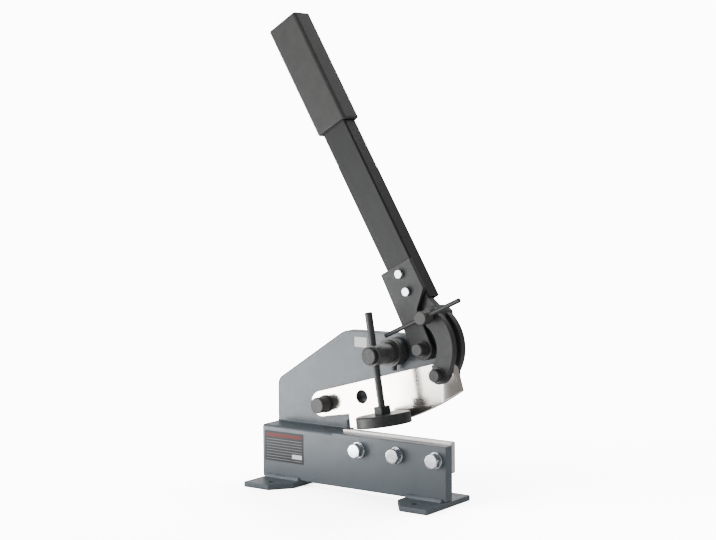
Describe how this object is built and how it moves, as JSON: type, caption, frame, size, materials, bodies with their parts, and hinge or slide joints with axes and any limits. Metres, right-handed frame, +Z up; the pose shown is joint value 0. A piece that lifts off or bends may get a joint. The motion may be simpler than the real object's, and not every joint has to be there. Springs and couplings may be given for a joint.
{
  "type": "bench lever shear",
  "caption": "Bench lever shear with a joggled plate frame on two feet, a hand lever driving the upper blade through curved links, and a rod hold-down.",
  "frame": {"origin": "on the bench surface, at the centre of the four bench bolt holes in the feet", "axes": "+X along the blades towards the lever end, +Y away from the user, +Z up"},
  "size_m": [0.3876, 0.1431, 0.7697],
  "materials": {
    "frame_paint": "painted",
    "weld_paint": "painted",
    "blade_steel": "polished",
    "lower_blade_steel": "ground",
    "zinc": "zinc plated",
    "black_steel": "blackened",
    "grey_steel": "satin",
    "lever_black": "satin paint",
    "sleeve_black": "satin paint",
    "bronze": "machined",
    "rubber": "matte"
  },
  "bodies": {
    "frame": {"frame_plate": "frame_paint", "left_foot": "frame_paint", "right_foot": "frame_paint", "foot_welds": "weld_paint", "lower_blade": "lower_blade_steel", "lower_blade_bolts": "zinc", "spring_washers": "zinc", "flat_washers": "zinc", "blade_pivot_bolt": "black_steel", "blade_pivot_washer": "black_steel", "blade_pivot_nut": "black_steel", "lever_pivot_bolt": "black_steel", "lever_pivot_washers": "grey_steel", "lever_pivot_nut": "black_steel", "hold_down_sleeve": "sleeve_black", "sleeve_set_screw": "sleeve_black"},
    "arm_bush": {"arm_bush": "grey_steel"},
    "hold_down_arm": {"hold_down_arm": "sleeve_black"},
    "clamp_knob": {"rod_clamp_knob": "black_steel"},
    "hold_down_rod": {"hold_down_rod": "grey_steel", "rod_nut": "black_steel", "pressure_pad": "grey_steel"},
    "blade": {"upper_blade": "blade_steel", "blade_bush": "bronze"},
    "lever": {"lever_tube": "lever_black", "rubber_grip": "rubber", "bracket_plate": "lever_black", "core_plate": "lever_black", "lever_bush": "bronze", "pivot_spacer": "grey_steel", "bracket_bolts": "zinc", "bracket_nuts": "zinc"},
    "links": {"front_link": "lever_black", "rear_link": "lever_black", "link_pin": "black_steel", "link_pin_washers": "grey_steel", "link_pin_nut": "black_steel", "lock_nut": "black_steel"},
    "lock_screw": {"lock_screw": "grey_steel"},
    "tommy_bar": {"tommy_bar": "grey_steel"}
  },
  "joints": [
    {"name": "lever_pull", "type": "hinge", "parent": "frame", "child": "lever", "pos_m": [0.1217, 0.0263, 0.239], "axis": [0, 1, 0], "range_deg": [0, 90]},
    {"name": "blade_swing", "type": "hinge", "parent": "frame", "child": "blade", "pos_m": [-0.0745, 0.0263, 0.134], "axis": [0, 1, 0], "range_deg": [0, 16.83]},
    {"name": "link_turn", "type": "hinge", "parent": "lever", "child": "links", "pos_m": [0.1375, 0.0263, 0.2908], "axis": [0, 1, 0], "range_deg": [-72.95, 0]},
    {"name": "lock_screw_turn", "type": "hinge", "parent": "lever", "child": "lock_screw", "pos_m": [0.1375, -0.009, 0.2908], "axis": [0, 1, 0], "range_deg": [0, 300]},
    {"name": "tommy_slide", "type": "slide", "parent": "lock_screw", "child": "tommy_bar", "axis": [0.9063, 0, 0.4226], "range_m": [0, 0.016]},
    {"name": "arm_swing", "type": "hinge", "parent": "frame", "child": "arm_bush", "pos_m": [0.0605, 0.026, 0.2295], "axis": [0, 1, 0], "range_deg": [-8, 12]},
    {"name": "arm_slide", "type": "slide", "parent": "arm_bush", "child": "hold_down_arm", "axis": [0, 1, 0], "range_m": [-0.03, 0.008]},
    {"name": "knob_turn", "type": "hinge", "parent": "hold_down_arm", "child": "clamp_knob", "pos_m": [0.0605, -0.044, 0.2295], "axis": [0, 1, 0], "continuous": true},
    {"name": "rod_slide", "type": "slide", "parent": "hold_down_arm", "child": "hold_down_rod", "axis": [-0.165, 0, 0.9863], "range_m": [-0.01, 0.055]}
  ],
  "couplings": [
    {"joint": "blade_swing", "follows": "lever_pull", "ratio": 0.187},
    {"joint": "link_turn", "follows": "lever_pull", "ratio": -0.81}
  ]
}
